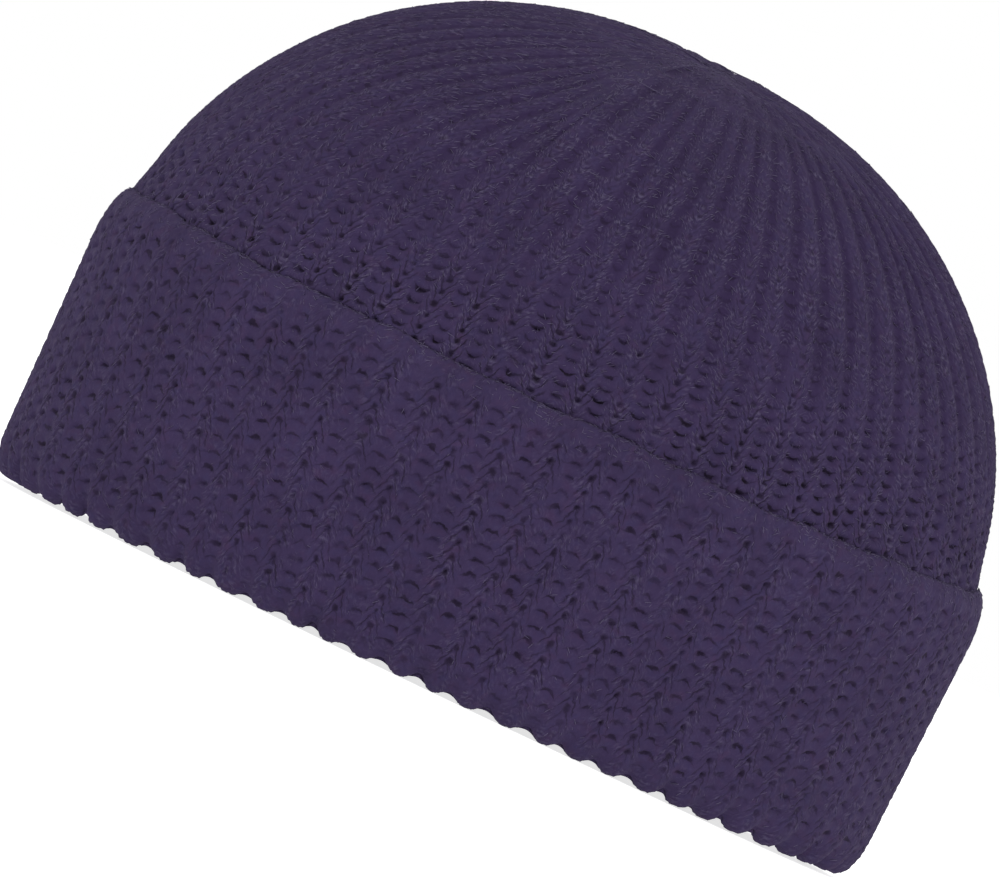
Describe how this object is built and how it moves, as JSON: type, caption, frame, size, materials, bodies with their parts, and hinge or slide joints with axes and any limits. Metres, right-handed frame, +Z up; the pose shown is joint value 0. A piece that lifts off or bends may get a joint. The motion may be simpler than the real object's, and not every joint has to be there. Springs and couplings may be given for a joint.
{
  "type": "fisherman beanie",
  "caption": "Rib-knit fisherman beanie with a turned-up cuff and a dome gathered to a closure; resting on its fold, open underneath.",
  "frame": {"origin": "centre of the hat in plan, at the plane that the fold of the cuff rests on", "axes": "+X along the longer side of the head opening, -Y towards the front, +Z up through the crown"},
  "size_m": [0.212, 0.1738, 0.1496],
  "materials": {
    "crown_knit": "chunky rib knit in dark aubergine wool with a fine pale and plum heather, matt and slightly hairy",
    "cuff_knit": "the same rib knit turned up, seen from its other face, with a soft rolled edge"
  },
  "bodies": {
    "root": {"crown": "crown_knit", "cuff": "cuff_knit"}
  },
  "joints": []
}
